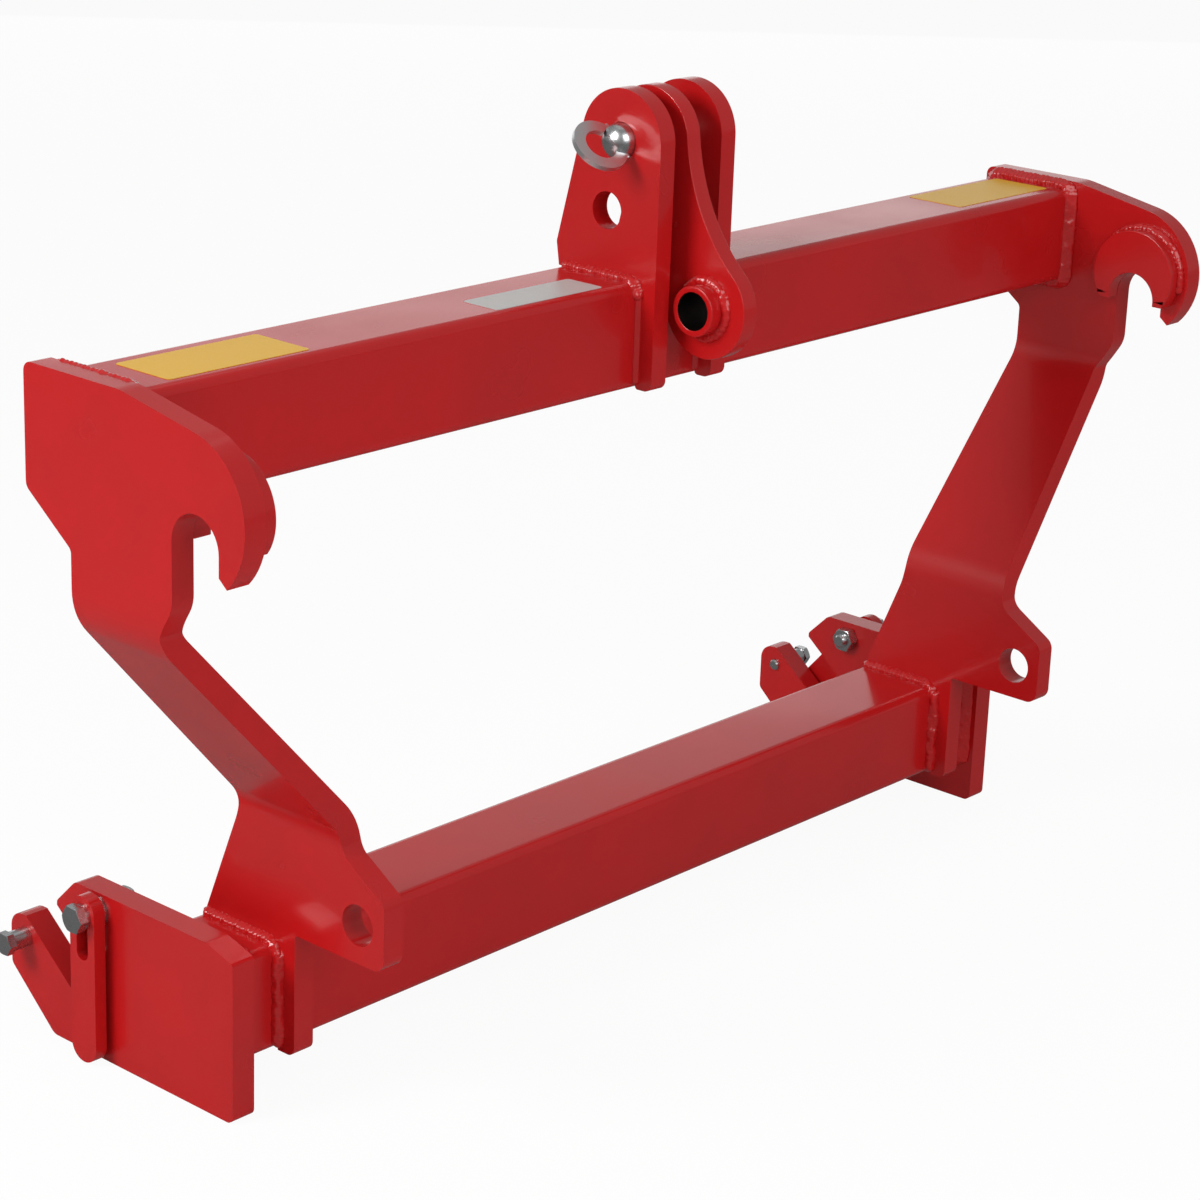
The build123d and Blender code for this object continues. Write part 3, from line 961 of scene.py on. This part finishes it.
def arc_path(x: float, hub: tuple[float, float], radius_mm: float, turns: tuple[float, float],
             spacing_mm: float) -> list[Vector]:
    """Walk along an arc that faces X.

    Args:
        x: where the arc lies, in metres.
        hub: its middle in Y and Z, in metres.
        radius_mm: its radius.
        turns: first and last angle in degrees, from +Y towards +Z.
        spacing_mm: distance between points.

    Returns:
        The points of the walk.
    """
    first, last = (math.radians(t) for t in turns)
    count = max(2, round(abs(last - first) * radius_mm / spacing_mm))
    angles = [first + (last - first) * i / count for i in range(count + 1)]
    radius = radius_mm * MM
    return [Vector((x, hub[0] + radius * math.cos(a), hub[1] + radius * math.sin(a))) for a in angles]


@dataclass
class WeldBeads:
    """Painted weld beads of one joint: overlapping ripples melted into each other.

    Flat ripples have eight sides, so that their bead fills its corner at 45 degrees.
    """

    name: str
    paths: list[list[Vector]]
    material: bpy.types.Material
    radius_mm: float = 6.0
    body: str = "frame"
    ripple: Ripple = Ripple.FLAT
    voxel_mm: float = 1.0
    relaxed: float = 0.5
    relax_rounds: int = 2
    wobble_mm: float = 2.0
    wobble_size_mm: float = 7.0

    def bead(self, path: list[Vector], number: int) -> bpy.types.Object:
        """Model one bead along its path.

        Args:
            path: places of the ripples.
            number: its number in this joint, for its name.

        Returns:
            The bead, with its place in its mesh.
        """
        deselect_all()
        segments, rings = self.ripple.value
        bpy.ops.mesh.primitive_uv_sphere_add(segments=segments, ring_count=rings, radius=self.radius_mm * MM)
        ripple = bpy.context.object
        ripples = [ripple]
        for point in path[1:]:
            twin = copy_piece(ripple, "ripple")
            twin.location = point
            ripples.append(twin)
        ripple.location = path[0]
        piece = join(ripples, f"{self.name}_{number}")
        settle(piece)
        melt = piece.modifiers.new("melt", "REMESH")
        melt.mode = "VOXEL"
        melt.voxel_size = self.voxel_mm * MM
        relax = piece.modifiers.new("relax", "SMOOTH")
        relax.factor = self.relaxed
        relax.iterations = self.relax_rounds
        cloud = bpy.data.textures.new(f"{self.name}_{number}_wobble", "CLOUDS")
        cloud.noise_scale = self.wobble_size_mm * MM
        wobble = piece.modifiers.new("wobble", "DISPLACE")
        wobble.texture = cloud
        wobble.texture_coords = "LOCAL"
        wobble.strength = self.wobble_mm * MM
        apply_modifiers(piece)
        return piece

    def build(self) -> bpy.types.Object:
        """Model, join and dress the beads.

        Returns:
            The finished piece.
        """
        beads = [self.bead(path, number) for number, path in enumerate(self.paths)]
        piece = join(beads, self.name)
        make_active(piece)
        bpy.ops.object.shade_smooth()
        dress(piece, self.material, self.body)
        return piece


@dataclass
class BlankSticker:
    """A blank film label on the upper beam's top face, which spans the given stretches of X and Y."""

    name: str
    material: bpy.types.Material
    x_mm: tuple[float, float]
    y_mm: tuple[float, float]
    thickness_mm: float = 0.3
    glue_mm: float = 0.02
    corner_r_mm: float = 3.0
    corner_steps: int = 4

    def build(self) -> bpy.types.Object:
        """Model and dress the label.

        Returns:
            The finished piece.
        """
        centre = Vector((sum(self.x_mm) / 2, sum(self.y_mm) / 2, self.glue_mm)) * MM
        centre.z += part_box("upper_beam")[1].z
        deselect_all()
        bpy.ops.mesh.primitive_plane_add(size=1.0, location=centre)
        piece = bpy.context.object
        piece.name = self.name
        piece.scale = ((self.x_mm[1] - self.x_mm[0]) * MM, (self.y_mm[1] - self.y_mm[0]) * MM, 1.0)
        settle(piece)
        bpy.ops.object.mode_set(mode="EDIT")
        bpy.ops.mesh.select_all(action="SELECT")
        bpy.ops.mesh.bevel(offset=self.corner_r_mm * MM, segments=self.corner_steps, affect="VERTICES")
        bpy.ops.object.mode_set(mode="OBJECT")
        film = piece.modifiers.new("film", "SOLIDIFY")
        film.thickness = self.thickness_mm * MM
        film.offset = 1.0
        apply_modifiers(piece)
        dress(piece, self.material, "frame")
        return piece


@dataclass(frozen=True)
class Lamp:
    """A soft rectangular lamp that points at the middle of the object."""

    name: str
    at_m: tuple[float, float, float]
    size_m: tuple[float, float]
    watts: float
    aim_m: tuple[float, float, float] = (0.0, 0.0, 0.35)

    def build(self) -> bpy.types.Object:
        """Add the lamp.

        Returns:
            The lamp object.
        """
        data = bpy.data.lights.new(self.name, "AREA")
        data.shape = "RECTANGLE"
        data.size, data.size_y = self.size_m
        data.energy = self.watts
        lamp = bpy.data.objects.new(self.name, data)
        lamp.location = self.at_m
        beam = Vector(self.aim_m) - Vector(self.at_m)
        lamp.rotation_euler = beam.to_track_quat("-Z", "Y").to_euler()
        lamp.visible_camera = False
        bpy.context.scene.collection.objects.link(lamp)
        return lamp


@dataclass
class Studio:
    """Pale floor, white surround, soft lamps and the camera at the photograph's angle.

    glossy_white and fill are how bright the surround is in reflections and as light.
    """

    camera_at_mm: tuple[float, float, float] = (-1765.6, -1556.0, 1063.2)
    azimuth: float = -48.42
    elevation: float = 18.46
    roll: float = 2.09
    focal_px: float = 3179.8
    centre_px: tuple[float, float] = (596.8, 589.0)
    image_px: float = 1200.0
    sensor_mm: float = 36.0
    far_clip_m: float = 50.0
    floor_m: float = 40.0
    floor_drop_mm: float = 0.5
    glossy_white: float = 0.3
    fill: float = 0.22
    lamps: tuple[Lamp, ...] = (
        Lamp("left_key", (-2.2, 0.6, 1.7), (1.0, 1.0), 43.0),
        Lamp("front_softbox", (-0.7, -2.7, 2.1), (3.0, 2.0), 53.0),
        Lamp("top_softbox", (0.3, 0.5, 3.0), (2.0, 2.0), 4.0),
        Lamp("far_wall", (3.2, 3.4, 0.9), (8.0, 1.8), 34.0),
    )

    def camera(self) -> bpy.types.Object:
        """Add the camera that saw the photograph.

        Returns:
            The camera object.
        """
        a, e, r = (math.radians(v) for v in (self.azimuth, self.elevation, self.roll))
        back = Vector((math.sin(a) * math.cos(e), -math.cos(a) * math.cos(e), math.sin(e)))
        right = (-back).cross(Vector((0, 0, 1))).normalized()
        up = right.cross(-back)
        rolled_right = right * math.cos(r) + up * math.sin(r)
        rolled_up = up * math.cos(r) - right * math.sin(r)
        data = bpy.data.cameras.new("camera")
        data.sensor_width = self.sensor_mm
        data.sensor_fit = "HORIZONTAL"
        data.lens = self.focal_px / self.image_px * self.sensor_mm
        data.shift_x = (self.image_px / 2 - self.centre_px[0]) / self.image_px
        data.shift_y = (self.centre_px[1] - self.image_px / 2) / self.image_px
        data.clip_end = self.far_clip_m
        camera = bpy.data.objects.new("camera", data)
        turn = Matrix((rolled_right, rolled_up, back)).transposed().to_4x4()
        camera.matrix_world = Matrix.Translation(Vector(self.camera_at_mm) * MM) @ turn
        bpy.context.scene.collection.objects.link(camera)
        bpy.context.scene.camera = camera
        return camera

    def world(self) -> None:
        """Set a white surround that lights softly and shows in what is glossy."""
        world = bpy.data.worlds.new("white_surround")
        world.use_nodes = True
        tree = world.node_tree
        tree.nodes.clear()
        white, _ = white_to_camera(tree, self.glossy_white)
        strength = add_node(tree, "ShaderNodeMath", {"operation": "MAXIMUM"}, {0: white, 1: self.fill})
        glow = add_node(tree, "ShaderNodeBackground", {}, {
            "Color": linear("#FFFFFF"), "Strength": strength.outputs[0]})
        add_node(tree, "ShaderNodeOutputWorld", {}, {"Surface": glow.outputs[0]})
        bpy.context.scene.world = world

    def build(self) -> None:
        """Build the floor, the lamps, the surround and the camera."""
        deselect_all()
        bpy.ops.mesh.primitive_plane_add(size=self.floor_m, location=(0, 0, -self.floor_drop_mm * MM))
        floor = bpy.context.object
        floor.name = "floor"
        floor.data.materials.append(StudioFloor().build())
        for lamp in self.lamps:
            lamp.build()
        self.world()
        self.camera()
        bpy.context.scene.view_settings.view_transform = "Standard"


@dataclass
class AdapterWelds:
    """Where the weld beads of the frame and the arm run, from the CAD boxes of the welded nodes.

    A bead's size is the radius of its ripples, and most beads are sunk a little into the steel.
    """

    material: bpy.types.Material
    tube_corner_mm: float = 7.5
    ripple_mm: float = 4.4
    sunk_mm: float = 1.0
    beam_bead_mm: float = 9.0
    plate_top_bead_mm: float = 6.5
    plate_front_bead_mm: float = 6.5
    lug_top_bead_mm: float = 5.5
    lug_front_bead_mm: float = 4.5
    foot_above_mm: float = 20.0
    top_wobble_mm: float = 1.2
    even_wobble_mm: float = 0.8
    rough_wobble_mm: float = 4.0
    front_wobble_size_mm: float = 9.0
    lump_mm: float = 6.0
    lump_sunk_share: float = 0.4
    lump_wobble_mm: float = 3.0
    lump_wobble_size_mm: float = 5.0
    doubler_bead_mm: float = 4.5
    doubler_turns: tuple[float, float] = (5.0, 190.0)
    boss_bead_mm: float = 5.0
    boss_r_mm: float = 20.5
    boss_turns: tuple[float, float] = (0.0, 360.0)

    def tube_end(self, beam: str, side: str, sign: int) -> bpy.types.Object:
        """Model the bead round the end of a tube, where a plate closes it.

        Args:
            beam: the tube's node.
            side: left or right.
            sign: which way that side lies along X.

        Returns:
            The finished piece.
        """
        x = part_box(beam)[1].x * sign - sign * self.sunk_mm * MM
        ring = tube_path(beam, x, (*Face, Face.TOP), self.tube_corner_mm, self.ripple_mm)
        return WeldBeads(f"weld_{beam}_{side}", [ring], self.material, self.beam_bead_mm).build()

    def lapped(self, node: str, beam: str, top_bead_mm: float, front_bead_mm: float,
               rough_front: bool) -> list[bpy.types.Object]:
        """Model the beads along both faces of a plate that laps a tube's top and front.

        The welder starts anew at the tube's corner, which leaves a few lumps there.

        Args:
            node: the plate's node.
            beam: the tube's node.
            top_bead_mm: size of the bead along the tube's top.
            front_bead_mm: size of the upright bead down its front.
            rough_front: whether the upright bead has run into coarse lumps.

        Returns:
            The finished pieces.
        """
        low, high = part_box(beam)
        corner = self.tube_corner_mm * MM
        sunk = self.sunk_mm * MM
        cut = corner * self.lump_sunk_share
        foot_top = high.z + self.foot_above_mm * MM
        foot = [v.co.x for v in frame["nodes"][node].data.vertices if v.co.z < foot_top]
        xs = (min(foot), max(foot))
        tops = [tube_path(beam, x, (Face.TOP,), self.tube_corner_mm, self.ripple_mm) for x in xs]
        fronts = [tube_path(beam, x, (Face.FRONT,), self.tube_corner_mm, self.ripple_mm) for x in xs]
        lumps = [[Vector((x, low.y + corner, high.z - sunk)), Vector((x, low.y + cut, high.z - cut)),
                  Vector((x, low.y + sunk, high.z - corner))] for x in xs]
        form, wobble_mm = Ripple.FLAT, self.even_wobble_mm
        if rough_front:
            form, wobble_mm = Ripple.ROUND, self.rough_wobble_mm
        beads = [WeldBeads(f"weld_{node}_top", tops, self.material, top_bead_mm,
                           wobble_mm=self.top_wobble_mm),
                 WeldBeads(f"weld_{node}_front", fronts, self.material, front_bead_mm, ripple=form,
                           wobble_mm=wobble_mm, wobble_size_mm=self.front_wobble_size_mm),
                 WeldBeads(f"weld_{node}_corner", lumps, self.material, self.lump_mm, ripple=Ripple.ROUND,
                           wobble_mm=self.lump_wobble_mm, wobble_size_mm=self.lump_wobble_size_mm)]
        return [bead.build() for bead in beads]

    def doubler(self, side: str, sign: int) -> bpy.types.Object:
        """Model the bead round a hook's doubler, where it lies on the side plate.

        Args:
            side: left or right.
            sign: which way that side lies along X.

        Returns:
            The finished piece.
        """
        low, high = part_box(f"hook_doubler_{side}")
        radius = (high.y - low.y) / 2
        hub = ((low.y + high.y) / 2, high.z - radius)
        x = max(abs(low.x), abs(high.x)) * sign - sign * self.sunk_mm * MM
        path = arc_path(x, hub, radius / MM, self.doubler_turns, self.ripple_mm)
        return WeldBeads(f"weld_doubler_{side}", [path], self.material, self.doubler_bead_mm,
                         ripple=Ripple.ROUND).build()

    def boss(self) -> bpy.types.Object:
        """Model the beads round the arm's cross tube, on both faces of the arm.

        Returns:
            The finished piece.
        """
        hub = middle("arm_boss", 0.0)
        low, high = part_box("swing_arm")
        sunk = self.sunk_mm * MM
        rings = [arc_path(x, (hub.y, hub.z), self.boss_r_mm, self.boss_turns, self.ripple_mm)
                 for x in (low.x + sunk, high.x - sunk)]
        return WeldBeads("weld_arm_boss", rings, self.material, self.boss_bead_mm, "arm",
                         ripple=Ripple.ROUND).build()

    def build(self) -> list[bpy.types.Object]:
        """Model every weld of the adapter.

        Returns:
            The finished pieces.
        """
        pieces = []
        for side, sign in SIDES:
            for beam in ("upper_beam", "lower_beam"):
                pieces.append(self.tube_end(beam, side, sign))
            pieces += self.lapped(f"side_plate_{side}", "lower_beam", self.plate_top_bead_mm,
                                  self.plate_front_bead_mm, rough_front=True)
            pieces += self.lapped(f"link_lug_{side}", "upper_beam", self.lug_top_bead_mm,
                                  self.lug_front_bead_mm, rough_front=False)
            pieces.append(self.doubler(side, sign))
        pieces.append(self.boss())
        return pieces


def main() -> None:
    """Build the adapter piece by piece, and report each one."""
    Studio().build()
    red = SprayedEnamel().build()
    zinc = PlatedSteel().build()
    smooth_zinc = SmoothPlatedSteel().build()
    groups = [SteelWork(red, Slot.RED, RED_EDGES_MM), SteelWork(zinc, Slot.ZINC, ZINC_EDGES_MM),
              SteelWork(smooth_zinc, Slot.PIN, PIN_EDGES_MM)]
    pieces = [piece for group in groups for piece in group.build()]
    boss = next(piece for piece in pieces if piece.name == "arm_boss_finished")
    # The bore of the arm's cross tube is painted nearly black, as painted shade.
    paint_bore_shade(boss, ARM_BORE_REACH_MM, PaintedBoreShade().build())
    pieces += Fasteners(zinc).build()
    pieces.append(TopPin(zinc).build())
    pieces += AdapterWelds(red).build()
    yellow = StickerFilm("yellow_sticker_film", "#E3B02B").build()
    pale = StickerFilm("pale_sticker_film", "#BEBDBA").build()
    labels = [BlankSticker("blank_label_left", yellow, x_mm=(-482.0, -359.0), y_mm=(-46.0, 8.0)),
              BlankSticker("blank_label_right", yellow, x_mm=(378.0, 505.0), y_mm=(-42.0, 12.0)),
              BlankSticker("blank_label_middle", pale, x_mm=(-183.0, -72.0), y_mm=(-49.0, -14.0))]
    pieces += [label.build() for label in labels]
    for piece in pieces:
        LOG.info("%s: %d faces", piece.name, len(piece.data.polygons))


if __name__ == "__main__":
    main()
